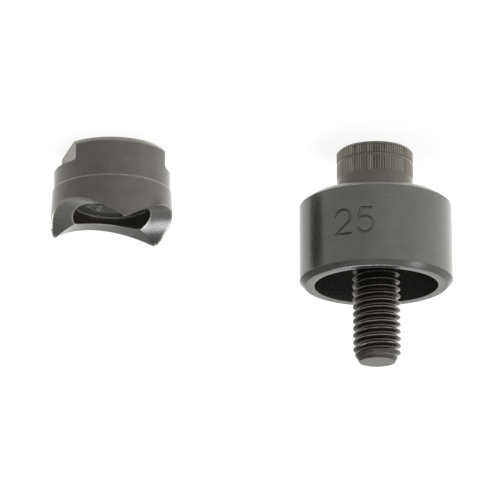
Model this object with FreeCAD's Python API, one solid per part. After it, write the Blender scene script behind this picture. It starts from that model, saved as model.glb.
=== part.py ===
import FreeCAD, Part
import math
import os

# Knockout punch set for round holes in sheet metal: a die, its draw screw and
# the punch, taken off the screw and standing beside it. Millimetres, +Z up.
# The origin is on the screw's axis, on the bench that the screw's head and the
# punch's back stand on. Mouth of the die, tip of the screw and teeth point up.

V = FreeCAD.Vector
ORIGIN = V(0, 0, 0)
UP = V(0, 0, 1)
FULL_TURN = 360.0
HALF_TURN = 180.0
HEX_SIDES = 6
SAME_PLACE = 1e-4

# The hole that the set punches, and the coarse thread M10 that draws it. The
# middle of a metric thread's flanks lies this share of the pitch inside its
# nominal size, on the radius
PUNCH_D = 25.0
THREAD_NOMINAL_D = 10.0
THREAD_PITCH = 1.5
FLANK_MIDDLE_DEPTH = 0.325

# What each fit takes off or adds, on the radius
DIE_CLEARANCE = 0.15
SCREW_HOLE_CLEARANCE = 0.25
CREST_UNDERSIZE = 0.125

# Draw screw, with a head that has two knurled bands and a key socket. Its thread
# is rolled, so the plain shank below is as thick as the thread's flank middles
HEAD_D = 15.75
HEAD_HEIGHT = 10.95
HEAD_END_CHAMFER_WIDTH = 0.55
HEAD_END_CHAMFER_HEIGHT = 0.7
HEAD_SEAT_CHAMFER = 0.6
KNURL_GROOVE_START = 2.55
KNURL_GROOVE_WIDTH = 0.75
KNURL_GROOVE_DEPTH = 0.12
SOCKET_ACROSS_FLATS = 8.0
SOCKET_DEPTH = 5.0
SOCKET_DRILL_ANGLE = 120.0
SOCKET_LEAD_IN = 0.3
SOCKET_LEAD_IN_CROWN = 0.02
NECK_RELIEF = 0.4
SCREW_LENGTH = 34.05
TIP_CHAMFER_WIDTH = 1.2
TIP_CHAMFER_HEIGHT = 1.9

# Die
DIE_WALL = 3.0
DIE_FLOOR = 6.5
CUP_DEPTH = 11.5
CUP_CORNER_RADIUS = 1.0
MOUTH_CHAMFER = 1.05
DIE_BACK_CHAMFER_WIDTH = 1.55
DIE_BACK_CHAMFER_HEIGHT = 1.15
SCREW_HOLE_CHAMFER = 0.5

# Punch
PUNCH_HEIGHT = 17.3
TOOTH_COUNT = 3
TOOTH_TIP_WIDTH = 1.35
SCALLOP_DEPTH = 4.45
LAND_RELIEF = 0.2
STEP_HEIGHT = 8.55
STEP_DEPTH = 0.28
PUNCH_BACK_CHAMFER_WIDTH = 1.0
PUNCH_BACK_CHAMFER_HEIGHT = 1.0
PUNCH_BACK_CHAMFER_CROWN = 0.04
FLATS_ACROSS = 18.8
FLATS_HEIGHT = 4.55
FLATS_CORNER_RADIUS = 0.8
CROWN_WALL = 4.55
RECESS_FLOOR_HEIGHT = 11.1
RECESS_CORNER_CHAMFER = 0.5
TAPPED_HOLE_LEAD_IN = 0.3

# How far apart the two groups stand, wall to wall along X, how far the punch is
# behind the screw's axis, and the direction in degrees from +X of its first
# tooth, the one midway between the flats
SPACE_BETWEEN = 26.15
PUNCH_SET_BACK = 1.35
FIRST_TOOTH_DIRECTION = 254.5

# Sizes that follow from those above
screw_hole_radius = THREAD_NOMINAL_D / 2 + SCREW_HOLE_CLEARANCE
shank_radius = THREAD_NOMINAL_D / 2 - THREAD_PITCH * FLANK_MIDDLE_DEPTH
crest_radius = THREAD_NOMINAL_D / 2 - CREST_UNDERSIZE
tap_drill_radius = (THREAD_NOMINAL_D - THREAD_PITCH) / 2
punch_radius = PUNCH_D / 2
cup_radius = punch_radius + DIE_CLEARANCE
die_radius = cup_radius + DIE_WALL
cup_floor = HEAD_HEIGHT + DIE_FLOOR
die_rim = cup_floor + CUP_DEPTH
screw_tip = HEAD_HEIGHT + SCREW_LENGTH
valley_height = PUNCH_HEIGHT - SCALLOP_DEPTH
punch_x = die_radius + SPACE_BETWEEN + punch_radius


def section_side(start, end, crown):
    """One side of a half section: straight, or an arc that bulges out by its crown."""
    if crown == 0:
        return Part.LineSegment(start, end).toShape()
    outward = V(end.z - start.z, 0, start.x - end.x).normalize()
    middle = (start + end) / 2 + outward * crown
    return Part.Arc(start, middle, end).toShape()


def turned(points):
    """Solid of revolution about the Z axis, from its half section.

    Each point is (radius, height), with the solid on the left on the way to the next
    one. A third value is the crown of the side that starts there."""
    corners = [V(point[0], 0, point[1]) for point in points]
    crowns = [point[2] if len(point) > 2 else 0 for point in points]
    sides = []
    for number, corner in enumerate(corners):
        following = corners[(number + 1) % len(corners)]
        sides.append(section_side(corner, following, crowns[number]))
    section = Part.Face(Part.Wire(sides))
    return section.revolve(ORIGIN, UP, FULL_TURN)


def ring_edges(solid, radius, height):
    """The round edges of a turned solid that have this radius and lie at this height."""
    found = []
    for edge in solid.Edges:
        if not isinstance(edge.Curve, Part.Circle):
            continue
        same_radius = abs(edge.Curve.Radius - radius) < SAME_PLACE
        same_height = abs(edge.Curve.Center.z - height) < SAME_PLACE
        if same_radius and same_height:
            found.append(edge)
    return found


def screw_head():
    """Head of the draw screw, standing on its socket end, without the socket."""
    radius = HEAD_D / 2
    groove_radius = radius - KNURL_GROOVE_DEPTH
    groove_end = KNURL_GROOVE_START + KNURL_GROOVE_WIDTH
    return turned([
        (0, 0),
        (radius - HEAD_END_CHAMFER_WIDTH, 0),
        (radius, HEAD_END_CHAMFER_HEIGHT),
        (radius, KNURL_GROOVE_START),
        (groove_radius, KNURL_GROOVE_START + KNURL_GROOVE_DEPTH),
        (groove_radius, groove_end - KNURL_GROOVE_DEPTH),
        (radius, groove_end),
        (radius, HEAD_HEIGHT - HEAD_SEAT_CHAMFER),
        (radius - HEAD_SEAT_CHAMFER, HEAD_HEIGHT),
        (0, HEAD_HEIGHT),
    ])


def hex_socket():
    """The space of the key socket: a hexagon with a drilled, conical bottom."""
    drill_radius = SOCKET_ACROSS_FLATS / 2
    corner_radius = drill_radius / math.cos(math.pi / HEX_SIDES)
    corners = []
    for corner in range(HEX_SIDES):
        angle = math.radians(corner * FULL_TURN / HEX_SIDES)
        corners.append(V(corner_radius * math.cos(angle), corner_radius * math.sin(angle), 0))
    hexagon = Part.Face(Part.makePolygon(corners + corners[:1])).extrude(UP * SOCKET_DEPTH)
    point_depth = drill_radius / math.tan(math.radians(SOCKET_DRILL_ANGLE / 2))
    drill_point = Part.makeCone(drill_radius, 0, point_depth, UP * SOCKET_DEPTH)
    mouth_radius = corner_radius + SOCKET_LEAD_IN
    lead_in = turned([
        (0, 0),
        (mouth_radius, 0, SOCKET_LEAD_IN_CROWN),
        (drill_radius, mouth_radius - drill_radius),
        (0, mouth_radius - drill_radius),
    ])
    return hexagon.fuse([drill_point, lead_in]).removeSplitter()


def screw_shaft():
    """Shank with a conical neck where the screw leaves its head, then the thread's crests and the tip."""
    return turned([
        (0, HEAD_HEIGHT),
        (shank_radius + NECK_RELIEF, HEAD_HEIGHT),
        (shank_radius, HEAD_HEIGHT + NECK_RELIEF),
        (shank_radius, cup_floor),
        (crest_radius, cup_floor + crest_radius - shank_radius),
        (crest_radius, screw_tip - TIP_CHAMFER_HEIGHT),
        (crest_radius - TIP_CHAMFER_WIDTH, screw_tip),
        (0, screw_tip),
    ])


def make_draw_screw():
    """Screw with its head down and the key socket in its lower end."""
    body = screw_head().fuse(screw_shaft()).removeSplitter()
    return body.cut(hex_socket())


def make_die():
    """Cup with a flat rim, standing with its back on the screw's head."""
    hole_mouth = screw_hole_radius + SCREW_HOLE_CHAMFER
    cup = turned([
        (hole_mouth, HEAD_HEIGHT),
        (die_radius - DIE_BACK_CHAMFER_WIDTH, HEAD_HEIGHT),
        (die_radius, HEAD_HEIGHT + DIE_BACK_CHAMFER_HEIGHT),
        (die_radius, die_rim - MOUTH_CHAMFER),
        (die_radius - MOUTH_CHAMFER, die_rim),
        (cup_radius, die_rim),
        (cup_radius, cup_floor),
        (hole_mouth, cup_floor),
        (screw_hole_radius, cup_floor - SCREW_HOLE_CHAMFER),
        (screw_hole_radius, HEAD_HEIGHT + SCREW_HOLE_CHAMFER),
    ])
    return cup.makeFillet(CUP_CORNER_RADIUS, ring_edges(cup, cup_radius, cup_floor))


def punch_blank():
    """Turned blank of the punch: tapped hole, recess, narrower back, and the cutting land.

    The land is full size from the valleys up and a little narrower down at the step."""
    relieved_land = punch_radius - LAND_RELIEF
    back = relieved_land - STEP_DEPTH
    recess = punch_radius - CROWN_WALL
    hole_mouth = THREAD_NOMINAL_D / 2 + TAPPED_HOLE_LEAD_IN
    countersink = hole_mouth - tap_drill_radius
    return turned([
        (hole_mouth, 0),
        (back - PUNCH_BACK_CHAMFER_WIDTH, 0, PUNCH_BACK_CHAMFER_CROWN),
        (back, PUNCH_BACK_CHAMFER_HEIGHT),
        (back, STEP_HEIGHT - STEP_DEPTH / 2),
        (relieved_land, STEP_HEIGHT + STEP_DEPTH / 2),
        (punch_radius, valley_height),
        (punch_radius, PUNCH_HEIGHT),
        (recess, PUNCH_HEIGHT),
        (recess, RECESS_FLOOR_HEIGHT + RECESS_CORNER_CHAMFER),
        (recess - RECESS_CORNER_CHAMFER, RECESS_FLOOR_HEIGHT),
        (hole_mouth, RECESS_FLOOR_HEIGHT),
        (tap_drill_radius, RECESS_FLOOR_HEIGHT - countersink),
        (tap_drill_radius, countersink),
    ])


def flat_cutter():
    """What the mill takes off for one wrench flat, on the +X side, with a rounded inner corner."""
    flat = FLATS_ACROSS / 2
    corner = V(flat, -PUNCH_D, -FLATS_HEIGHT)
    block = Part.makeBox(PUNCH_D, 2 * PUNCH_D, 2 * FLATS_HEIGHT, corner)
    inner_corner = []
    for edge in block.Edges:
        centre = edge.CenterOfMass
        on_flat = abs(centre.x - flat) < SAME_PLACE
        on_shelf = abs(centre.z - FLATS_HEIGHT) < SAME_PLACE
        if on_flat and on_shelf:
            inner_corner.append(edge)
    return block.makeFillet(FLATS_CORNER_RADIUS, inner_corner)


def scallop_cutter():
    """Lying cylinder that hollows the crown on the +X side, from the axis outwards.

    Its radius is the one that leaves each tooth's tip as wide as it should be."""
    tip_half_angle = math.asin(TOOTH_TIP_WIDTH / 2 / punch_radius)
    scallop_half_angle = math.pi / TOOTH_COUNT - tip_half_angle
    half_chord = punch_radius * math.sin(scallop_half_angle)
    radius = (half_chord ** 2 + SCALLOP_DEPTH ** 2) / (2 * SCALLOP_DEPTH)
    centre = V(0, 0, valley_height + radius)
    return Part.makeCylinder(radius, PUNCH_D, centre, V(1, 0, 0))


def make_punch():
    """Punch with its teeth, each between two scallops, and its two wrench flats."""
    tooth_step = FULL_TURN / TOOTH_COUNT
    cutters = []
    for valley in range(TOOTH_COUNT):
        scallop = scallop_cutter()
        scallop.rotate(ORIGIN, UP, (valley + 0.5) * tooth_step)
        cutters.append(scallop)
    for side in range(2):
        flat = flat_cutter()
        flat.rotate(ORIGIN, UP, HALF_TURN / 2 + side * HALF_TURN)
        cutters.append(flat)
    punch = punch_blank().cut(cutters)
    punch.rotate(ORIGIN, UP, FIRST_TOOTH_DIRECTION)
    punch.translate(V(punch_x, PUNCH_SET_BACK, 0))
    return punch


def save(node, shape):
    """Write the node's solid as STEP and say how large it came out."""
    solid = shape.Solids[0]
    solid.exportStep("parts/" + node + ".step")
    print(node, "valid", solid.isValid(), "solids", len(shape.Solids), "volume", round(solid.Volume, 1))


os.makedirs("parts", exist_ok=True)
save("die", make_die())
save("draw_screw", make_draw_screw())
save("punch", make_punch())
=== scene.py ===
# %% [markdown]
# # Knockout punch for sheet metal
# Three pieces of blackened steel: a die like a cup, a draw screw that runs up through
# the die's floor, and a punch with three points that stands beside them. The solids
# of the frame fix every size and place. This lesson adds what they leave out: the
# knurl, the threads, the stamped number, soft edges and the finish of the steel.

import math

import bmesh
import bpy
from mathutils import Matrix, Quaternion, Vector, noise


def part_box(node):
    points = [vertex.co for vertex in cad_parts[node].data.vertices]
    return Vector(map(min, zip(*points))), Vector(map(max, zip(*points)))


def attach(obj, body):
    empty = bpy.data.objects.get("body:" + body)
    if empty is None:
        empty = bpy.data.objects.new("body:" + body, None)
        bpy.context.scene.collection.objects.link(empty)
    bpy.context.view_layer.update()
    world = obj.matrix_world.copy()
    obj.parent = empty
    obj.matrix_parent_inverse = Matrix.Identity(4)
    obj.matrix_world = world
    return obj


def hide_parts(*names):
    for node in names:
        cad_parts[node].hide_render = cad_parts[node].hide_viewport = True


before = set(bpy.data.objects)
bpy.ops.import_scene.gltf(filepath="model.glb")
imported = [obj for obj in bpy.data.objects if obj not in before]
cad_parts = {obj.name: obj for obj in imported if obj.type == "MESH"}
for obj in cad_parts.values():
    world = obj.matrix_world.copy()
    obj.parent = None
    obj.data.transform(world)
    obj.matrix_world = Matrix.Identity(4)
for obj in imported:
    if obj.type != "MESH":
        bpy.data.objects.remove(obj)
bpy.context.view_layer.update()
MM = 0.001

# %% [markdown]
# ## The camera
# The picture was taken with a long lens from a little above the bench, and it is
# shown upside down, so the camera is rolled by half a turn. A long lens keeps the
# sides of turned pieces nearly parallel.

# %% Camera
AIM = Vector((25.79, 0.0, 21.22)) * MM
CAMERA_DISTANCE = 614.7 * MM
CAMERA_ELEVATION = math.radians(17.26)
LENS_MM = 216.0

from_aim = Vector((0.0, -math.cos(CAMERA_ELEVATION), math.sin(CAMERA_ELEVATION)))
camera_data = bpy.data.cameras.new("camera")
camera_data.lens = LENS_MM
camera_data.clip_start = 0.05
camera_data.clip_end = 20.0
camera = bpy.data.objects.new("camera", camera_data)
bpy.context.scene.collection.objects.link(camera)
camera.location = AIM + from_aim * CAMERA_DISTANCE
camera.rotation_mode = "QUATERNION"
upright = (-from_aim).to_track_quat("-Z", "Y")
camera.rotation_quaternion = upright @ Quaternion((0, 0, 1), math.pi)
bpy.context.scene.camera = camera
print("camera at", [round(x, 3) for x in camera.location])

# %% [markdown]
# ## Selecting
# An operator works on whatever is selected, so each step first lets go of
# everything. Points are then picked in code, by where they are.


# %% Helpers for selecting
def let_go():
    """Object mode, with nothing selected."""
    if bpy.context.mode != "OBJECT":
        bpy.ops.object.mode_set(mode="OBJECT")
    bpy.ops.object.select_all(action="DESELECT")


def take(piece):
    """Selects one piece alone and makes it the active one."""
    let_go()
    piece.select_set(True)
    bpy.context.view_layer.objects.active = piece


def pick(piece, wanted):
    """Edit mode, with only those points selected for which wanted(point in mm) holds."""
    take(piece)
    bpy.ops.object.mode_set(mode="EDIT")
    bpy.ops.mesh.select_mode(type="VERT")
    bpy.ops.mesh.select_all(action="DESELECT")
    mesh = bmesh.from_edit_mesh(piece.data)
    for vertex in mesh.verts:
        vertex.select = bool(wanted(vertex.co / MM))
    mesh.select_flush_mode()
    bmesh.update_edit_mesh(piece.data)


def reshape(piece, new_place):
    """Moves each point to new_place(point), both in mm."""
    let_go()
    for vertex in piece.data.vertices:
        vertex.co = new_place(vertex.co / MM) * MM
    piece.data.update()


def clean(piece):
    """Merges points that lie on each other and turns every face outwards."""
    take(piece)
    bpy.ops.object.mode_set(mode="EDIT")
    bpy.ops.mesh.select_all(action="SELECT")
    bpy.ops.mesh.remove_doubles(threshold=MERGE_DISTANCE * MM)
    bpy.ops.mesh.normals_make_consistent(inside=False)
    let_go()


def apply_modifier(piece, kind, **settings):
    """Adds one modifier, sets it up and applies it."""
    take(piece)
    modifier = piece.modifiers.new(kind.lower(), kind)
    for name, value in settings.items():
        setattr(modifier, name, value)
    bpy.ops.object.modifier_apply(modifier=modifier.name)


MERGE_DISTANCE = 0.002
SAME_PLACE = 0.001
print("helpers ready, points merge within", MERGE_DISTANCE, "mm")

# %% [markdown]
# ## A lathe
# Die, screw and punch are turned pieces. A ring of points is drawn up from height to
# height and scaled to each new radius, as a turner works along a bar. A corner with
# a third number gets that radius: no machined edge is perfectly sharp, and the small
# round is what catches the light.


# %% Turning
CORNER_STEPS = 4


def rounded(corners):
    """The outline's points as (radius, height), with an arc at each corner that has a third number."""
    outline = []
    for number, corner in enumerate(corners):
        here = Vector(corner[:2])
        if len(corner) < 3:
            outline.append(here)
            continue
        before = (Vector(corners[number - 1][:2]) - here).normalized()
        after = (Vector(corners[(number + 1) % len(corners)][:2]) - here).normalized()
        half_angle = before.angle(after) / 2
        centre = here + (before + after).normalized() * corner[2] / math.sin(half_angle)
        reach = corner[2] / math.tan(half_angle)
        start = here + before * reach - centre
        end = here + after * reach - centre
        for step in range(CORNER_STEPS + 1):
            outline.append(centre + start.lerp(end, step / CORNER_STEPS).normalized() * corner[2])
    return outline


def turn(name, outline, segments, solid=False, ring=True):
    """A turned piece about Z: solid with flat ends, or a ring whose outline comes back to its start."""
    let_go()
    here = outline[0]
    bpy.ops.mesh.primitive_circle_add(
        vertices=segments,
        radius=here[0] * MM,
        fill_type="NGON" if solid else "NOTHING",
        location=(0, 0, here[1] * MM),
    )
    piece = bpy.context.object
    piece.name = piece.data.name = name
    bpy.ops.object.transform_apply(location=True, rotation=True, scale=True)
    bpy.ops.object.mode_set(mode="EDIT")
    bpy.ops.mesh.select_mode(type="FACE" if solid else "EDGE")
    bpy.ops.mesh.select_all(action="SELECT")
    for corner in [*outline[1:], outline[0]] if ring and not solid else outline[1:]:
        rise = (0, 0, (corner[1] - here[1]) * MM)
        grow = corner[0] / here[0]
        bpy.ops.mesh.extrude_region_move(TRANSFORM_OT_translate={"value": rise})
        bpy.ops.transform.resize(value=(grow, grow, 1), center_override=(0, 0, 0))
        here = corner
    clean(piece)
    return piece


# %% [markdown]
# ## A helix
# A thread is one cross section swept round the axis, one pitch higher with each
# turn. The Screw modifier does just that, and because the section repeats with the
# pitch, the end of each turn meets the start of the next.

# %% Threads
THREAD_STEPS = 96
POINTS_PER_PITCH = 24


def thread(name, section, pitch, low, high):
    """A tube whose wall follows section(share of the pitch) round a right-hand helix."""
    let_go()
    turns = math.ceil((high - low) / pitch) + 2
    heights = [
        (low / pitch - 1 + step / POINTS_PER_PITCH) * pitch for step in range(turns * POINTS_PER_PITCH)
    ]
    profile = bpy.data.meshes.new(name)
    points = [(section((height / pitch) % 1.0) * MM, 0, height * MM) for height in heights]
    profile.from_pydata(points, [(i, i + 1) for i in range(len(points) - 1)], [])
    piece = bpy.data.objects.new(name, profile)
    bpy.context.scene.collection.objects.link(piece)
    apply_modifier(
        piece,
        "SCREW",
        angle=2 * math.pi,
        screw_offset=pitch * MM,
        steps=THREAD_STEPS,
        render_steps=THREAD_STEPS,
        use_merge_vertices=True,
        merge_threshold=MERGE_DISTANCE * MM,
    )
    return piece


# %% [markdown]
# ## The die
# The die is the anvil of the tool: a cup whose sharp inner mouth edge shears the
# sheet, and whose hollow takes the slug. It is turned from bar, and chamfered at the
# back and round the mouth. Spare rings close to the chamfers end the wear marked there.

# %% Turn the die
die_low, die_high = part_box("die")
DIE_BACK = die_low.z / MM
DIE_RIM = die_high.z / MM
DIE_RADIUS = min(die_high.x, die_high.y, -die_low.x, -die_low.y) / MM
DIE_BORE = 12.65
CUP_DEPTH = 11.5
SCREW_HOLE = 5.25
BACK_CHAMFER = (1.55, 1.15)
MOUTH_CHAMFER = 1.05
HOLE_CHAMFER = 0.5
EDGE_BREAK = 0.12
BACK_ROUND = 0.25
RIM_ROUND = 0.45
BORE_ROUND = 0.08
CUP_ROUND = 1.0
WEAR_ENDS = 0.3
DIE_SEGMENTS = 384

cup_floor = DIE_RIM - CUP_DEPTH
die_outline = rounded([
    (SCREW_HOLE + HOLE_CHAMFER, DIE_BACK),
    (DIE_RADIUS - BACK_CHAMFER[0], DIE_BACK, EDGE_BREAK),
    (DIE_RADIUS, DIE_BACK + BACK_CHAMFER[1], BACK_ROUND),
    (DIE_RADIUS, DIE_BACK + BACK_CHAMFER[1] + WEAR_ENDS),
    (DIE_RADIUS, DIE_RIM - MOUTH_CHAMFER - WEAR_ENDS),
    (DIE_RADIUS, DIE_RIM - MOUTH_CHAMFER, EDGE_BREAK),
    (DIE_RADIUS - MOUTH_CHAMFER, DIE_RIM, RIM_ROUND),
    (DIE_BORE, DIE_RIM, BORE_ROUND),
    (DIE_BORE, DIE_RIM - WEAR_ENDS),
    (DIE_BORE, cup_floor, CUP_ROUND),
    (SCREW_HOLE + HOLE_CHAMFER, cup_floor),
    (SCREW_HOLE, cup_floor - HOLE_CHAMFER),
    (SCREW_HOLE, DIE_BACK + HOLE_CHAMFER),
])
die = turn("die_turned", die_outline, DIE_SEGMENTS)
print("die:", len(die.data.polygons), "faces")

# %% [markdown]
# ## The stamped size
# Such dies carry the hole's diameter on the wall, to be read with the mouth down.
# Each figure is a stroke of a round graver: a curve with a round section, wrapped
# on the wall and cut out of it, so the figure has a real floor and real edges.

# %% Cut the figures
FIGURE_HEIGHT = 5.1
FIGURE_BASE = 22.15
GRAVER_RADIUS = 0.24
GRAVER_END = 0.99 * GRAVER_RADIUS
TWO_START = -9.15
FIVE_START = -4.45
BOWL_RADIUS = 1.65
ARC_STEP = math.radians(15)


def arc(centre, radius, start, end):
    """Points of an arc from one angle in degrees to another, clockwise if end is below start."""
    start, end = math.radians(start), math.radians(end)
    steps = max(1, round(abs(end - start) / ARC_STEP))
    angles = [start + (end - start) * step / steps for step in range(steps + 1)]
    return [(centre[0] + radius * math.cos(a), centre[1] + radius * math.sin(a)) for a in angles]


def on_wall(across, up):
    """The point of the die's wall that lies that far to a reader's right and above the figures' base."""
    around = -math.pi / 2 - across / DIE_RADIUS
    height = FIGURE_BASE - up
    return Vector((DIE_RADIUS * math.cos(around), DIE_RADIUS * math.sin(around), height)) * MM


two = [
    [*arc((1.72, FIGURE_HEIGHT - BOWL_RADIUS), BOWL_RADIUS, 168, -38), (0.05, 0.0)],
    [(0.05, 0.0), (3.5, 0.0)],
]
five = [
    [(2.95, FIGURE_HEIGHT), (0.8, FIGURE_HEIGHT)],
    [(0.8, FIGURE_HEIGHT), (0.45, 2.85)],
    arc((1.65, BOWL_RADIUS + 0.02), BOWL_RADIUS, 136, -150),
]
strokes = [[(TWO_START + u, v) for u, v in stroke] for stroke in two]
strokes += [[(FIVE_START + u, v) for u, v in stroke] for stroke in five]

graver_path = bpy.data.curves.new("graver", "CURVE")
graver_path.dimensions = "3D"
graver_path.bevel_depth = GRAVER_RADIUS * MM
graver_path.bevel_resolution = 3
graver_path.use_fill_caps = True
for stroke in strokes:
    spline = graver_path.splines.new("POLY")
    spline.points.add(len(stroke) - 1)
    for point, place in zip(spline.points, stroke):
        point.co = (*on_wall(*place), 1.0)
graver = bpy.data.objects.new("graver", graver_path)
bpy.context.scene.collection.objects.link(graver)
take(graver)
bpy.ops.object.convert(target="MESH")
stroke_ends = {end for stroke in strokes for end in (stroke[0], stroke[-1])}
for end in sorted(stroke_ends):
    bpy.ops.mesh.primitive_uv_sphere_add(
        segments=12, ring_count=8, radius=GRAVER_END * MM, location=on_wall(*end)
    )
    graver.select_set(True)
    bpy.context.view_layer.objects.active = graver
    bpy.ops.object.join()


def cut(piece, tool):
    """Cuts one mesh with another, and removes the tool."""
    apply_modifier(piece, "BOOLEAN", operation="DIFFERENCE", object=tool, solver="EXACT", use_self=True)
    bpy.data.objects.remove(tool)


cut(die, graver)
print("die with its figures:", len(die.data.polygons), "faces")

# %% [markdown]
# ## The draw screw
# A socket head screw pulls the two halves together. Its head is forged with straight
# ribs for the fingers, in two bands with a groove between them. The lathe makes the
# head with four points to a rib, and two of each four are then pressed in.

# %% Turn the head
HEAD_RADIUS = 7.875
RIB_ROOT = 7.66
GROOVE_RADIUS = 7.72
RIB_UNEVENNESS = 0.09
PLAIN_RADIUS = 7.85
HEAD_HEIGHT = DIE_BACK
RIB_COUNT = 94
POINTS_PER_RIB = 4
BANDS = ((0.72, 2.55), (3.3, 6.2))
SHANK_RADIUS = 4.5125
SHANK_TOP = 17.0
NECK = 0.4
SEAT_CHAMFER = 0.6
HEAD_END_CHAMFER = 0.55
HEAD_ROUND = 0.1
BAND_SLOPE = 0.05
BAND_END = 0.12
PRESSED_SHARE = (0.125, 0.625)

head_outline = rounded([
    (HEAD_RADIUS - HEAD_END_CHAMFER, 0.0, HEAD_ROUND),
    (HEAD_RADIUS, BANDS[0][0], HEAD_ROUND),
    (HEAD_RADIUS, BANDS[0][1]),
    (GROOVE_RADIUS, BANDS[0][1] + BAND_SLOPE),
    (GROOVE_RADIUS, BANDS[1][0] - BAND_SLOPE),
    (HEAD_RADIUS, BANDS[1][0]),
    (HEAD_RADIUS, BANDS[1][1]),
    (PLAIN_RADIUS, BANDS[1][1] + BAND_END),
    (PLAIN_RADIUS, HEAD_HEIGHT - SEAT_CHAMFER, HEAD_ROUND),
    (PLAIN_RADIUS - SEAT_CHAMFER, HEAD_HEIGHT),
    (SHANK_RADIUS + NECK, HEAD_HEIGHT),
    (SHANK_RADIUS, HEAD_HEIGHT + NECK),
    (SHANK_RADIUS, SHANK_TOP),
])
screw = turn("draw_screw_turned", head_outline, RIB_COUNT * POINTS_PER_RIB, solid=True)


def chance(number):
    """A number from 0 to 1 that looks random, and is the same in each run."""
    return math.sin(number * 78.233 + 1.7) * 43758.5453 % 1.0


def rib_of(point):
    """Which rib a point of the head belongs to, counted from the -X side."""
    return math.floor((math.atan2(point.y, point.x) / math.pi + 1) / 2 * RIB_COUNT + 0.25)


def press_rib(point):
    """Two of the four points of each rib go down to its root, within the two bands."""
    radius = math.hypot(point.x, point.y)
    in_band = any(low - SAME_PLACE < point.z < high + SAME_PLACE for low, high in BANDS)
    if radius < HEAD_RADIUS - SAME_PLACE or not in_band:
        return point
    share = math.atan2(point.y, point.x) / (2 * math.pi) * RIB_COUNT % 1.0
    new_radius = HEAD_RADIUS - RIB_UNEVENNESS / 2 * chance(rib_of(point) * 2)
    if PRESSED_SHARE[0] < share < PRESSED_SHARE[1]:
        new_radius = RIB_ROOT + RIB_UNEVENNESS * chance(rib_of(point) * 2 + 1)
    return Vector((point.x * new_radius / radius, point.y * new_radius / radius, point.z))


reshape(screw, press_rib)
print("screw's head:", len(screw.data.polygons), "faces")

# %% [markdown]
# ## The socket
# The hexagon takes an 8 mm key. It is a drilled hole with its corners broached, so
# it ends in the drill's cone. Three plain tools cut it out of the head: a hexagon, the
# drill's cone and the lead at the mouth.

# %% Cut the hexagon
KEY_SIZE = 8.0
SOCKET_DEPTH = 5.0
DRILL_CONE = 2.2
SOCKET_LEAD = 0.3
CUT_LAP = 0.01

bpy.ops.mesh.primitive_cylinder_add(
    vertices=6,
    radius=KEY_SIZE / math.sqrt(3) * MM,
    depth=2 * SOCKET_DEPTH * MM,
    rotation=(0, 0, math.radians(30)),
)
hexagon = bpy.context.object
cut(screw, hexagon)
bpy.ops.mesh.primitive_cone_add(
    vertices=48,
    radius1=KEY_SIZE / 2 * MM,
    radius2=0,
    depth=DRILL_CONE * MM,
    location=(0, 0, (SOCKET_DEPTH - CUT_LAP + DRILL_CONE / 2) * MM),
)
cut(screw, bpy.context.object)
bpy.ops.mesh.primitive_cone_add(
    vertices=96,
    radius1=(KEY_SIZE / math.sqrt(3) + 2 * SOCKET_LEAD) * MM,
    radius2=(KEY_SIZE / math.sqrt(3) - 2 * SOCKET_LEAD) * MM,
    depth=4 * SOCKET_LEAD * MM,
    location=(0, 0, 0),
)
cut(screw, bpy.context.object)
print("screw's socket is", SOCKET_DEPTH, "mm deep")

# %% [markdown]
# ## The screw's thread
# A rolled M10 thread: flanks at 60 degrees to each other, a narrow flat crest and a
# rounded root. It fades into the shank at one end, and a cone trims it at the tip so
# that it starts easily in the punch.

# %% Sweep the thread
PITCH = 1.5
CREST_RADIUS = 4.875
ROOT_RADIUS = 4.06
CREST_FLAT = 0.19
CREST_HEIGHT = 33.40
THREAD_START = 17.45
SCREW_TIP = 45.0
TIP_CHAMFER = (1.2, 1.9)
RUN_OUT_SLOPE = 0.6
SHANK_GAP = 0.05
SHANK_GAP_REACH = 0.03
FLANK_SLOPE = math.tan(math.radians(60))
ROUNDING = 0.05


def soft_max(a, b, width):
    """The larger of two values, with a smooth passage where they meet."""
    share = max(0.0, min(1.0, 0.5 + 0.5 * (a - b) / width))
    return b + (a - b) * share + width * share * (1.0 - share) / 2


def soft_min(a, b, width):
    """The smaller of two values, with a smooth passage where they meet."""
    return -soft_max(-a, -b, width)


def rolled_section(share):
    """Radius of the external thread at a share of its pitch."""
    aside = abs((share - CREST_HEIGHT / PITCH + 0.5) % 1.0 - 0.5) * PITCH
    flank = CREST_RADIUS - (aside - CREST_FLAT / 2) * FLANK_SLOPE
    return soft_max(soft_min(flank, CREST_RADIUS, 2 * ROUNDING), ROOT_RADIUS, 4 * ROUNDING)


def trim_screw(point):
    """Fades the thread out at the shank, cones it at the tip and ends it flat."""
    height = max(SHANK_TOP + SHANK_GAP, min(SCREW_TIP, point.z))
    up = max(0.0, height - THREAD_START)
    radius = math.hypot(point.x, point.y)
    radius = max(min(radius, SHANK_RADIUS + up), SHANK_RADIUS - up * RUN_OUT_SLOPE)
    cone = CREST_RADIUS - (height - SCREW_TIP + TIP_CHAMFER[1]) * TIP_CHAMFER[0] / TIP_CHAMFER[1]
    radius = min(radius, cone)
    around = math.atan2(point.y, point.x)
    return Vector((radius * math.cos(around), radius * math.sin(around), height))


screw_thread = thread("screw_thread", rolled_section, PITCH, SHANK_TOP, SCREW_TIP)
reshape(screw_thread, trim_screw)
clean(screw_thread)
pick(screw_thread, lambda point: point.z > SCREW_TIP - SAME_PLACE)
bpy.ops.mesh.edge_face_add()
pick(screw, lambda point: point.z > SHANK_TOP - SAME_PLACE)
bpy.ops.mesh.delete(type="ONLY_FACE")
take(screw)
screw_thread.select_set(True)
bpy.ops.object.join()
pick(screw, lambda point: abs(point.z - SHANK_TOP - SHANK_GAP / 2) < SHANK_GAP_REACH)
bpy.ops.mesh.select_mode(type="EDGE")
bpy.ops.mesh.bridge_edge_loops()
clean(screw)
print("screw:", len(screw.data.polygons), "faces")

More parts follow.
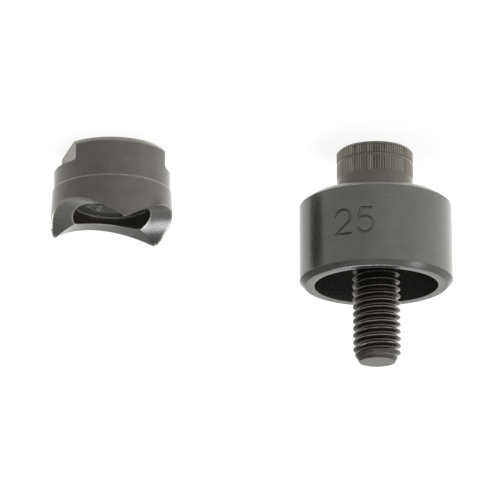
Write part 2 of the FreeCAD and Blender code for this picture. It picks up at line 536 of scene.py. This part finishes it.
# %% [markdown]
# ## The punch
# The punch is the half that cuts. Its crown has three scallops, so that three points
# pierce the sheet first and the valleys follow through it. The lathe makes the blank
# with a few spare rings, and the milling cutters then press those down: each
# scallop is a lying cylinder, and the two wrench flats are planes.

# %% Turn the punch
punch_low, punch_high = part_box("punch")
PUNCH_RADIUS = 12.5
PUNCH_X = (punch_low.x + punch_high.x) / 2 / MM
PUNCH_Y = (punch_low.y + punch_high.y) / 2 / MM
PUNCH_TOP = punch_high.z / MM
PUNCH_SEGMENTS = 480
STEP_HEIGHT = 8.55
STEP_DEPTH = 0.28
LAND_RELIEF = 0.2
PUNCH_CHAMFER = (1.0, 1.0)
WALL_INSIDE = 7.95
RECESS_FLOOR = 11.1
RECESS_CORNER = 0.5
EDGE_ROUND = 0.1
TAPPED_MOUTH = 5.35
FLAT_DISTANCE = 9.4
FLAT_TOP = 4.55
FLAT_CORNER = 0.8
FIRST_TOOTH = math.radians(254.5)
TOOTH_COUNT = 3
TOOTH_TIP = 1.35
SCALLOP_DEPTH = 4.45
CROWN_RINGS = 14
CROWN_RIM = 0.15
CROWN_TAPER = 0.03
RIDGE_ROUNDING = 0.08
HELD_BELOW_TOP = 0.3
TOOTH_BEVEL = 0.22
TOOTH_BEVEL_SLOPE = 1.0
PRESSED_ABOVE = 12.2
SHELF_GAP = 0.003

back_radius = PUNCH_RADIUS - LAND_RELIEF - STEP_DEPTH
land_radius = PUNCH_RADIUS - LAND_RELIEF
step_low = STEP_HEIGHT - STEP_DEPTH / 2
step_high = STEP_HEIGHT + STEP_DEPTH / 2
land_slope = (LAND_RELIEF - CROWN_TAPER) / (PRESSED_ABOVE - step_high)
flat_heights = [
    FLAT_TOP - FLAT_CORNER * (1 - math.sin(math.radians(angle))) for angle in (0, 18, 36, 54, 72)
]
crown_width = PUNCH_RADIUS - WALL_INSIDE - 2 * CROWN_RIM
crown_radii = [
    PUNCH_RADIUS - CROWN_RIM - crown_width * ring / CROWN_RINGS for ring in range(1, CROWN_RINGS)
]
punch_outline = rounded([
    (TAPPED_MOUTH, 0.0),
    (back_radius - PUNCH_CHAMFER[0], 0.0, EDGE_ROUND),
    (back_radius, PUNCH_CHAMFER[1], EDGE_ROUND),
    (back_radius, PUNCH_CHAMFER[1] + WEAR_ENDS),
    *[(back_radius, height) for height in flat_heights],
    (back_radius, FLAT_TOP),
    (back_radius, FLAT_TOP + SHELF_GAP),
    (back_radius, step_low - WEAR_ENDS / 2),
    (back_radius, step_low),
    (land_radius, step_high, EDGE_ROUND),
    (land_radius + land_slope * WEAR_ENDS, step_high + WEAR_ENDS),
    (PUNCH_RADIUS - CROWN_TAPER, PRESSED_ABOVE),
    (PUNCH_RADIUS, PUNCH_TOP - HELD_BELOW_TOP),
    (PUNCH_RADIUS, PUNCH_TOP, EDGE_ROUND),
    *[(radius, PUNCH_TOP) for radius in crown_radii],
    (WALL_INSIDE, PUNCH_TOP, EDGE_ROUND),
    (WALL_INSIDE, PUNCH_TOP - HELD_BELOW_TOP),
    (WALL_INSIDE, PRESSED_ABOVE),
    (WALL_INSIDE, RECESS_FLOOR, RECESS_CORNER),
    (TAPPED_MOUTH, RECESS_FLOOR),
])
print("punch outline:", len(punch_outline), "points")
punch = turn("punch_turned", punch_outline, PUNCH_SEGMENTS, ring=False)

# %% [markdown]
# ## Pressing down the scallops
# The rings above the recess keep their distance from the crown's top, so their round
# edges stay round, and those between are shared out along the wall.

# %% Mill the crown and the flats
tip_half_angle = math.asin(TOOTH_TIP / 2 / PUNCH_RADIUS)
half_chord = PUNCH_RADIUS * math.sin(math.pi / TOOTH_COUNT - tip_half_angle)
scallop_radius = (half_chord**2 + SCALLOP_DEPTH**2) / (2 * SCALLOP_DEPTH)
scallop_axis = PUNCH_TOP - SCALLOP_DEPTH + scallop_radius
valley_top = PUNCH_TOP - SCALLOP_DEPTH
across_flats = FIRST_TOOTH + math.pi / 2
flat_normal = Vector((math.cos(across_flats), math.sin(across_flats), 0))


def crown_height(x, y):
    """Height of the crown over a point, from the punch's own axis."""
    height = PUNCH_TOP
    for tooth in range(TOOTH_COUNT):
        valley = FIRST_TOOTH + (tooth + 0.5) * 2 * math.pi / TOOTH_COUNT
        along = x * math.cos(valley) + y * math.sin(valley)
        aside = y * math.cos(valley) - x * math.sin(valley)
        if along > 0:
            scallop = scallop_axis - math.sqrt(scallop_radius**2 - aside**2)
            height = soft_min(height, scallop, RIDGE_ROUNDING)
    return height


def mill_crown(point):
    """Presses the spare rings of the crown down to the scallops."""
    if point.z <= PRESSED_ABOVE + SAME_PLACE:
        return point
    top = crown_height(point.x, point.y)
    held = PUNCH_TOP - HELD_BELOW_TOP
    to_rim = PUNCH_RADIUS - math.hypot(point.x, point.y)
    if to_rim < TOOTH_BEVEL:
        toward_tooth = max(0.0, (top - valley_top) / SCALLOP_DEPTH)
        top -= (TOOTH_BEVEL - to_rim) * toward_tooth * TOOTH_BEVEL_SLOPE
    if point.z >= held - SAME_PLACE:
        return Vector((point.x, point.y, top - PUNCH_TOP + point.z))
    share = (point.z - PRESSED_ABOVE) / (held - PRESSED_ABOVE)
    return Vector((point.x, point.y, PRESSED_ABOVE + share * (top - HELD_BELOW_TOP - PRESSED_ABOVE)))


def mill_flats(point):
    """Pushes what stands outside a wrench flat back to it, with the cutter's round inner corner."""
    if point.z > FLAT_TOP + SHELF_GAP / 2:
        return point
    up = max(0.0, point.z - FLAT_TOP + FLAT_CORNER)
    limit = FLAT_DISTANCE + FLAT_CORNER - math.sqrt(max(0.0, FLAT_CORNER**2 - up**2))
    outside = point.dot(flat_normal)
    if abs(outside) > limit:
        point = point - flat_normal * (outside - math.copysign(limit, outside))
    return point


reshape(punch, mill_crown)
reshape(punch, mill_flats)
print("scallop radius", round(scallop_radius, 2), "mm, flats", 2 * FLAT_DISTANCE, "mm apart")

# %% [markdown]
# ## The tapped hole
# The punch is the nut of the tool. Its hole is the same helix turned inside out:
# the section now stands inwards, and a countersink trims it at both mouths.

# %% Tap the punch
TAP_RADIUS = 4.25
TAP_GROOVE = 4.98
COUNTERSINK = 5.3
SEAM = 0.01


def tapped_section(share):
    """Radius of the internal thread at a share of its pitch."""
    aside = abs((share + 0.5) % 1.0 - 0.5) * PITCH
    flank = TAP_GROOVE - aside * FLANK_SLOPE
    return soft_max(soft_min(flank, TAP_GROOVE - ROUNDING, 4 * ROUNDING), TAP_RADIUS, ROUNDING)


def trim_tapped(point):
    """Ends the tapped hole flush with the web, behind a cone at each mouth."""
    height = max(0.0, min(RECESS_FLOOR, point.z))
    to_mouth = min(height, RECESS_FLOOR - height)
    radius = max(math.hypot(point.x, point.y), COUNTERSINK - to_mouth)
    around = math.atan2(point.y, point.x)
    return Vector((radius * math.cos(around), radius * math.sin(around), height))


tapped = thread("tapped_hole", tapped_section, PITCH, 0.0, RECESS_FLOOR)
reshape(tapped, trim_tapped)
clean(tapped)
take(punch)
tapped.select_set(True)
bpy.ops.object.join()
for mouth in (0.0, RECESS_FLOOR):
    pick(
        punch,
        lambda point: abs(point.z - mouth) < SAME_PLACE
        and COUNTERSINK - SEAM < math.hypot(point.x, point.y) < TAPPED_MOUTH + SEAM,
    )
    bpy.ops.mesh.select_mode(type="EDGE")
    bpy.ops.mesh.bridge_edge_loops()
clean(punch)
punch_place = Vector((PUNCH_X, PUNCH_Y, 0))
reshape(punch, lambda point: point + punch_place)
print("punch:", len(punch.data.polygons), "faces")

# %% [markdown]
# ## Smooth faces
# Round walls are shaded smooth, and edges sharper than the angle stay crisp. The
# weighted normals let the large faces decide, so flats stay flat up to their edges.

# %% Shading
SHARP_ANGLE = math.radians(32)
NORMAL_WEIGHT = 50

for piece in (die, screw, punch):
    take(piece)
    bpy.ops.object.shade_smooth_by_angle(angle=SHARP_ANGLE)
    apply_modifier(piece, "WEIGHTED_NORMAL", keep_sharp=True, weight=NORMAL_WEIGHT)
print("smooth below", round(math.degrees(SHARP_ANGLE)), "degrees")

# %% [markdown]
# ## Wiring a finish
# A finish is a few patterns, each wired into the next. A socket takes either a plain
# value or what another node gives, so one helper does both.


# %% Helpers for nodes
def feed(tree, socket, value):
    """Sets a socket to a value, or links it to what another node gives."""
    if isinstance(value, bpy.types.NodeSocket):
        tree.links.new(value, socket)
    else:
        socket.default_value = value


def node(tree, kind, **settings):
    """A new node, with its settings and its sockets filled in."""
    made = tree.nodes.new("ShaderNode" + kind)
    for key, value in settings.items():
        if hasattr(made, key):
            setattr(made, key, value)
        else:
            feed(tree, made.inputs[key], value)
    return made


def in_turn(tree, made, values):
    """Feeds a node's sockets in their order, and gives what comes out of it."""
    for socket, value in zip(made.inputs, values):
        feed(tree, socket, value)
    return made.outputs[0]


def maths(tree, operation, *values):
    """The sum, product or the like of some values."""
    return in_turn(tree, node(tree, "Math", operation=operation), values)


def mix(tree, factor, first, second):
    """A mix of two shaders."""
    return in_turn(tree, node(tree, "MixShader"), (factor, first, second))


def blend(tree, kind, factor, first, second):
    """A mix of two colours (kind RGBA) or of two numbers (kind FLOAT)."""
    return node(tree, "Mix", data_type=kind, Factor=factor, A=first, B=second).outputs["Result"]


def spread(tree, value, before, after, smooth=False):
    """A value carried over from one range to another."""
    made = node(tree, "MapRange", interpolation_type="SMOOTHSTEP" if smooth else "LINEAR", Value=value)
    for key, number in zip(("From Min", "From Max", "To Min", "To Max"), (*before, *after)):
        feed(tree, made.inputs[key], number)
    return made.outputs[0]


# %% [markdown]
# ## Blackened steel
# The pieces are hardened and then blackened in a hot bath. The oxide is thin, so the
# steel's shine comes through it as a dark grey, and the marks of the lathe with it.
# Each finish is a metal with fine rings of turning and a blotchy oxide. Two marks on
# the mesh change it. The wear mark is above zero where handling has bared the steel
# and where a highlight is painted on. Below zero it darkens the oxide, as painted shade
# in the thread's valleys and as a darker tip end and plain band on the screw. The
# milled mark is one where a cutter left it rough.
# A pattern's values bunch round a half, so each is read over a span there: usual,
# narrow for a hard contrast, or wide for a soft one.

# %% Finishes
METAL_SHARE = 0.84
POLISH = (0.20, 0.32)
WORN_ROUGHNESS = 0.33
MILLED_ROUGHNESS = 0.2
RINGS = {"Scale": 2600.0, "Detail": 3.0, "Roughness": 0.6}
CLOUDS = {"Scale": 330.0, "Detail": 4.0, "Roughness": 0.55}
GRAIN = {"Scale": 4200.0, "Detail": 2.0, "Roughness": 0.6}
COARSE_GRAIN = {"Scale": 1900.0, "Detail": 3.0, "Roughness": 0.7}
USUAL = (0.3, 0.7)
NARROW = (0.35, 0.65)
WIDE = (0.25, 0.75)
RING_CONTRAST = 0.05
WORN_PATCHES = (0.65, 1.25)
MILLED_SPECKS = (0.18, 0.50)
BUMP_STRENGTH = 0.07
BUMP_DISTANCE = 0.00001
GRAIN_BUMP = 0.6
MILLED_BUMP = 6.0


def finish_steel(name, centre, tone, worn_and_highlight_tone, blotch):
    """A metal with turning rings about centre and blotches, brighter where it is worn, milled or painted
    with a highlight, and darker where the wear mark is below zero.
    """
    material = bpy.data.materials.new(name)
    material.use_nodes = True
    tree = material.node_tree
    place = node(tree, "TexCoord").outputs["Object"]
    centred = node(tree, "Mapping", Vector=place, Location=[-x * MM for x in centre]).outputs[0]
    x, y, z = node(tree, "SeparateXYZ", Vector=centred).outputs
    squares = maths(tree, "ADD", maths(tree, "MULTIPLY", x, x), maths(tree, "MULTIPLY", y, y))
    on_lathe = node(tree, "CombineXYZ", X=maths(tree, "SQRT", squares), Z=z).outputs[0]
    rings = node(tree, "TexNoise", Vector=on_lathe, **RINGS).outputs["Fac"]
    clouds = node(tree, "TexNoise", Vector=centred, **CLOUDS).outputs["Fac"]
    grain = node(tree, "TexNoise", Vector=centred, **GRAIN).outputs["Fac"]
    coarse = node(tree, "TexNoise", Vector=centred, **COARSE_GRAIN).outputs["Fac"]
    worn_and_painted_light = node(tree, "Attribute", attribute_name="worn_and_painted_light").outputs["Fac"]
    milled = node(tree, "Attribute", attribute_name="milled").outputs["Fac"]

    blotches = spread(tree, clouds, USUAL, (1.0 - blotch, 1.0 + blotch))
    lines = spread(tree, rings, USUAL, (1.0 - RING_CONTRAST, 1.0 + RING_CONTRAST))
    # Below zero the wear mark darkens the oxide: painted shade in the thread's valleys, and a darker tip
    # end and plain band on the screw.
    kept_after_darkening = maths(tree, "ADD", 1.0, maths(tree, "MINIMUM", worn_and_painted_light, 0.0))
    strength = maths(tree, "MULTIPLY", kept_after_darkening, maths(tree, "MULTIPLY", blotches, lines))
    oxide = node(tree, "VectorMath", operation="SCALE", Scale=strength)
    oxide.inputs[0].default_value = tone

    patches = maths(tree, "MULTIPLY", worn_and_painted_light, spread(tree, coarse, USUAL, WORN_PATCHES))
    specks = maths(tree, "MULTIPLY", milled, spread(tree, coarse, NARROW, MILLED_SPECKS))
    bare_and_highlight = node(tree, "Clamp", Value=maths(tree, "ADD", patches, specks)).outputs[0]
    # Above zero the colour goes to the bare tone: real wear, and a painted highlight on the punch's step
    # and the screw's last crest.
    colour = blend(tree, "RGBA", bare_and_highlight, oxide.outputs[0], (*worn_and_highlight_tone, 1.0))
    sheen = blend(tree, "FLOAT", bare_and_highlight, spread(tree, grain, WIDE, POLISH), WORN_ROUGHNESS)
    roughness = maths(tree, "ADD", sheen, maths(tree, "MULTIPLY", milled, MILLED_ROUGHNESS))

    fine = maths(tree, "ADD", rings, maths(tree, "MULTIPLY", grain, GRAIN_BUMP))
    rough = maths(tree, "MULTIPLY", milled, maths(tree, "MULTIPLY", coarse, MILLED_BUMP))
    height = maths(tree, "ADD", fine, rough)
    bump = node(tree, "Bump", Strength=BUMP_STRENGTH, Distance=BUMP_DISTANCE, Height=height)

    shader = tree.nodes["Principled BSDF"]
    feed(tree, shader.inputs["Metallic"], METAL_SHARE)
    feed(tree, shader.inputs["Base Color"], colour)
    feed(tree, shader.inputs["Roughness"], roughness)
    feed(tree, shader.inputs["Normal"], bump.outputs[0])
    return material


AXIS_OF_DIE = (0.0, 0.0, 0.0)
AXIS_OF_PUNCH = (PUNCH_X, PUNCH_Y, 0.0)
WORN_GREY = (0.42, 0.41, 0.39)
WORN_AND_HIGHLIGHT_BEIGE = (0.46, 0.42, 0.36)
DIE_BLACK = (0.105, 0.105, 0.101)
SCREW_BLACK = (0.100, 0.094, 0.084)
PUNCH_BLACK = (0.094, 0.091, 0.086)
die_steel = finish_steel("die_black_oxide", AXIS_OF_DIE, DIE_BLACK, WORN_GREY, blotch=0.05)
screw_steel = finish_steel("screw_black_oxide", AXIS_OF_DIE, SCREW_BLACK, WORN_AND_HIGHLIGHT_BEIGE, blotch=0.10)
punch_steel = finish_steel("punch_black_oxide", AXIS_OF_PUNCH, PUNCH_BLACK, WORN_AND_HIGHLIGHT_BEIGE, blotch=0.10)
print("finishes:", die_steel.name, screw_steel.name, punch_steel.name)

# %% [markdown]
# ## Where the steel is worn, and where light is painted
# The bath leaves every face alike, and use does the rest. It bares the edges first,
# then the cup and the recess that the slugs rub. A painted highlight brightens the punch's
# step and the screw's last crest, and painted shade darkens the thread's valleys.


# %% Wear of the die
def dress(piece, material, worn_and_painted_light, milled=None):
    """Gives a piece its finish, and marks at each point how worn or milled it is, with painted highlight
    and painted shade in the wear mark.
    """
    piece.data.materials.clear()
    piece.data.materials.append(material)
    for name, mark in (("worn_and_painted_light", worn_and_painted_light), ("milled", milled)):
        if mark is None:
            continue
        marks = piece.data.attributes.new(name, "FLOAT", "POINT")
        for vertex, place in zip(piece.data.vertices, marks.data):
            place.value = mark(vertex.co / MM)


NEAR = 0.01
DIE_WEAR = {"bore edge": 0.30, "rim": 0.08, "mouth chamfer": 0.06, "back chamfer": 0.12, "cup": 0.30}


def die_wear(point):
    """Wear of the die at a point."""
    radius = math.hypot(point.x, point.y)
    if point.z > DIE_RIM - BORE_ROUND - NEAR and radius < DIE_BORE + BORE_ROUND + NEAR:
        return DIE_WEAR["bore edge"]
    if point.z > DIE_RIM - NEAR:
        return DIE_WEAR["rim"]
    if point.z > DIE_RIM - MOUTH_CHAMFER - 2 * NEAR and radius > DIE_RADIUS - MOUTH_CHAMFER - 2 * NEAR:
        return DIE_WEAR["mouth chamfer"]
    if point.z < DIE_BACK + BACK_CHAMFER[1] + EDGE_BREAK and radius > DIE_RADIUS - BACK_CHAMFER[0]:
        return DIE_WEAR["back chamfer"]
    if radius < DIE_BORE + SAME_PLACE and point.z > cup_floor - SAME_PLACE:
        return DIE_WEAR["cup"]
    return 0.0


dress(die, die_steel, die_wear)
print("die worn at:", *DIE_WEAR, sep=" / ")

# %% Wear of the draw screw
# Above zero is wear, and the last crest also gets a painted glint. Below zero darkens: painted shade in
# the valleys, and a darker tip end and plain band.
SCREW_WEAR_AND_PAINTED_LIGHT = {
    "tip": -0.15, "last crest": 0.8, "crests": 0.34, "valleys": -0.40, "ribs": 0.14, "plain band": -0.12
}
LAST_CREST_WEAR_AND_GLINT = 0.15
LAST_CREST_WEAR_AND_GLINT_DEPTH = 0.175
VALLEY_DEPTH = 0.16
CREST_DEPTH = 0.10
CREST_GAIN = 3
CREST_PATCHES = 0.7
CREST_PATCH_MEAN = 0.6
CREST_PATCH_SPREAD = 1.2
RIB_WEAR_SPREAD = 0.24
RIB_TOP = 0.06


def screw_wear_and_painted_light(point):
    """Wear of the draw screw at a point: patchy on the thread's crests and different from rib to rib,
    with a painted glint on the last crest, painted shade in the valleys, and a darker tip end and plain
    band.
    """
    radius = math.hypot(point.x, point.y)
    cone_start = SCREW_TIP - TIP_CHAMFER[1]
    if point.z > SCREW_TIP - NEAR:
        return SCREW_WEAR_AND_PAINTED_LIGHT["tip"]
    # The last crest: wear, and a painted glint along it.
    if abs(point.z - cone_start) < LAST_CREST_WEAR_AND_GLINT and radius > CREST_RADIUS - LAST_CREST_WEAR_AND_GLINT_DEPTH:
        return SCREW_WEAR_AND_PAINTED_LIGHT["last crest"]
    if point.z > THREAD_START:
        # The valleys are darkened: painted shade.
        if radius < CREST_RADIUS - VALLEY_DEPTH:
            return SCREW_WEAR_AND_PAINTED_LIGHT["valleys"] if point.z < cone_start else 0.0
        patch = CREST_PATCH_MEAN + CREST_PATCH_SPREAD * noise.noise(point * CREST_PATCHES)
        rubbed = (radius - CREST_RADIUS + CREST_DEPTH) * CREST_GAIN
        return max(0.0, min(SCREW_WEAR_AND_PAINTED_LIGHT["crests"], rubbed)) * patch
    if radius > HEAD_RADIUS - RIB_TOP and BANDS[0][0] < point.z < BANDS[1][1] + SAME_PLACE:
        return SCREW_WEAR_AND_PAINTED_LIGHT["ribs"] + RIB_WEAR_SPREAD * chance(rib_of(point) + RIB_COUNT)
    if BANDS[1][1] + BAND_END < point.z < HEAD_HEIGHT and radius > SHANK_RADIUS + 2 * NECK:
        return SCREW_WEAR_AND_PAINTED_LIGHT["plain band"]
    return 0.0


dress(screw, screw_steel, screw_wear_and_painted_light)
# Printed are places of wear, of a painted glint, of painted shade, and of a darker tip end and plain
# band.
print("screw worn or dirty at:", *SCREW_WEAR_AND_PAINTED_LIGHT, sep=" / ")

# %% Wear of the punch
# The step's bright band is wear and a painted highlight.
PUNCH_WEAR_AND_PAINTED_LIGHT = {"crown edges": 0.45, "step": 0.62, "back chamfer": 0.20, "recess": 0.05}
CROWN_EDGE = 0.16
CROWN_INNER_EDGE = 0.11
TIP_WEAR_DEPTH = 0.35


def punch_wear_and_painted_light(point):
    """Wear of the punch at a point, with a painted highlight on the step."""
    local = point - punch_place
    radius = math.hypot(local.x, local.y)
    below_crown = crown_height(local.x, local.y) - point.z
    if point.z > PRESSED_ABOVE and below_crown < CROWN_EDGE:
        on_edge = radius > PUNCH_RADIUS - CROWN_EDGE or radius < WALL_INSIDE + CROWN_INNER_EDGE
        return PUNCH_WEAR_AND_PAINTED_LIGHT["crown edges"] if on_edge or point.z > PUNCH_TOP - TIP_WEAR_DEPTH else 0.0
    # The step: wear, with a painted highlight.
    if abs(point.z - STEP_HEIGHT) < STEP_DEPTH / 2 + 2 * NEAR and radius > back_radius - 2 * NEAR:
        return PUNCH_WEAR_AND_PAINTED_LIGHT["step"]
    chamfer_foot = back_radius - PUNCH_CHAMFER[0] - 2 * NEAR
    if point.z < PUNCH_CHAMFER[1] + EDGE_ROUND + NEAR and radius > chamfer_foot:
        return PUNCH_WEAR_AND_PAINTED_LIGHT["back chamfer"]
    if radius < WALL_INSIDE + SAME_PLACE and point.z > RECESS_FLOOR - SAME_PLACE:
        return PUNCH_WEAR_AND_PAINTED_LIGHT["recess"]
    return 0.0


def milled_flat(point):
    """One on the two wrench flats, none elsewhere."""
    outside = abs((point - punch_place).dot(flat_normal))
    return 1.0 if point.z < FLAT_TOP and outside > FLAT_DISTANCE - SAME_PLACE else 0.0


dress(punch, punch_steel, punch_wear_and_painted_light, milled_flat)
print("punch worn at:", *PUNCH_WEAR_AND_PAINTED_LIGHT, sep=" / ")

# %% [markdown]
# ## Riding on the solids
# Each piece takes the place of its solid and moves with the same body.

# %% Join the pieces to the frame
for piece, body, slot in (
    (die, "die", "die_steel"),
    (screw, "draw_screw", "screw_steel"),
    (punch, "punch", "punch_steel"),
):
    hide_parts(body)
    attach(piece, body)
    print(piece.name, "rides on", body)

# %% [markdown]
# ## The bench
# The bench is pale, white to the camera, and keeps the soft shadow of the pieces. What
# is mirrored in the steel passes through it and meets the lower half of the light
# tent instead, which depends on direction alone, as it does on small pieces in a
# wide, evenly lit room.

# %% Floor
FLOOR_SIZE = 6.0
FLOOR_DROP = 0.00002
FLOOR_TONE = 0.26
FLOOR_GLOW = 0.86

let_go()
bpy.ops.mesh.primitive_plane_add(size=FLOOR_SIZE, location=(0, 0, -FLOOR_DROP))
floor = bpy.context.object
floor.name = "floor"
floor_material = bpy.data.materials.new("pale_bench")
floor_material.use_nodes = True
bench = floor_material.node_tree
bench.nodes.clear()
path = node(bench, "LightPath").outputs
seen = maths(bench, "MAXIMUM", path["Is Camera Ray"], path["Is Transmission Ray"])
dark = node(bench, "Emission", Strength=0.0).outputs[0]
glow = node(bench, "Emission", Strength=FLOOR_GLOW).outputs[0]
diffuse = node(bench, "BsdfDiffuse", Color=(FLOOR_TONE, FLOOR_TONE, FLOOR_TONE, 1.0)).outputs[0]
lit = in_turn(bench, node(bench, "AddShader"), (diffuse, mix(bench, seen, dark, glow)))
from_below = node(bench, "NewGeometry").outputs["Backfacing"]
see_through = maths(bench, "MAXIMUM", from_below, path["Is Glossy Ray"])
clear = node(bench, "BsdfTransparent").outputs[0]
node(bench, "OutputMaterial", Surface=mix(bench, see_through, lit, clear))
floor.data.materials.append(floor_material)
print("bench:", FLOOR_SIZE, "m wide")

# %% [markdown]
# ## The light tent
# Dark polished steel shows what stands round it, so the tent makes most of its tones.
# Overhead the tent is dimmer than at the horizon, and dimmer still towards the punch's
# side. Its lower half is brighter towards the die's side, and behind the pieces.

# %% Light tent
HORIZON_LIGHT = 0.98
OVERHEAD_LIGHT = 0.68
HORIZON_TO_OVERHEAD = (0.25, 0.75)
OVERHEAD_SHADE = 0.40
SHADE_SPAN = (0.1, 0.65)
SIDE_LIGHT = (1.72, 1.07)
SIDE_SPAN = (-0.95, 0.35)
BACK_LIGHT = 0.40
BACK_SPAN = (-0.6, 0.5)
BELOW_SHARE = 0.75
BELOW_SPAN = (-0.85, -0.3)
LOWER_TO_UPPER = (-0.18, 0.22)
TENT_COLOUR = (1.0, 0.99, 0.97, 1.0)

world = bpy.data.worlds.new("light_tent")
bpy.context.scene.world = world
world.use_nodes = True
tent = world.node_tree
tent.nodes.clear()
direction = node(tent, "TexCoord").outputs["Generated"]
x, y, z = node(tent, "SeparateXYZ", Vector=direction).outputs
shaded = spread(tent, x, SHADE_SPAN, (1.0, OVERHEAD_SHADE))
overhead = spread(tent, z, HORIZON_TO_OVERHEAD, (HORIZON_LIGHT, OVERHEAD_LIGHT))
upper = maths(tent, "MULTIPLY", overhead, shaded)
sideways = spread(tent, x, SIDE_SPAN, SIDE_LIGHT)
behind = spread(tent, y, BACK_SPAN, (0.0, BACK_LIGHT), smooth=True)
downwards = spread(tent, z, BELOW_SPAN, (BELOW_SHARE, 1.0))
lower = maths(tent, "MULTIPLY", maths(tent, "ADD", sideways, behind), downwards)
above = spread(tent, z, LOWER_TO_UPPER, (0.0, 1.0), smooth=True)
below = maths(tent, "SUBTRACT", 1.0, above)
shade = maths(tent, "ADD", maths(tent, "MULTIPLY", upper, above), maths(tent, "MULTIPLY", lower, below))
cloth = node(tent, "Background", Color=TENT_COLOUR, Strength=shade).outputs[0]
backdrop = node(tent, "Background", Color=(1.0, 1.0, 1.0, 1.0), Strength=1.0).outputs[0]
camera_ray = node(tent, "LightPath").outputs["Is Camera Ray"]
node(tent, "OutputWorld", Surface=mix(tent, camera_ray, cloth, backdrop))
print("tent:", len(tent.nodes), "nodes")

# %% [markdown]
# ## Two soft lamps
# One hangs above and behind the pieces, and shows as a thin line along the die's rim
# and as a sheen in the punch's scallop. The other hangs to the die's side, away from
# the punch, and shows on the chamfer of the die's mouth.


# %% Lamps
def softbox(name, place, size, brightness):
    """A soft lamp, size (m) wide and deep, that faces the bench and shines as bright as brightness."""
    lamp = bpy.data.lights.new(name, "AREA")
    lamp.shape = "RECTANGLE"
    lamp.size, lamp.size_y = size
    lamp.energy = brightness * math.pi * size[0] * size[1]
    lamp.color = BLUISH
    box = bpy.data.objects.new(name, lamp)
    bpy.context.scene.collection.objects.link(box)
    box.location = place
    box.rotation_mode = "QUATERNION"
    box.rotation_quaternion = Vector((0, 0, -1)).to_track_quat("-Z", "Y")
    print(name, "at", place)


BLUISH = (0.90, 0.96, 1.0)
softbox("softbox_above", (0.06, 0.205, 0.5), (0.28, 0.19), 8.0)
softbox("softbox_beside", (-0.39, -0.025, 0.5), (0.18, 0.15), 2.8)

# %% Look
bpy.context.scene.view_settings.view_transform = "Standard"
print("view transform:", bpy.context.scene.view_settings.view_transform)
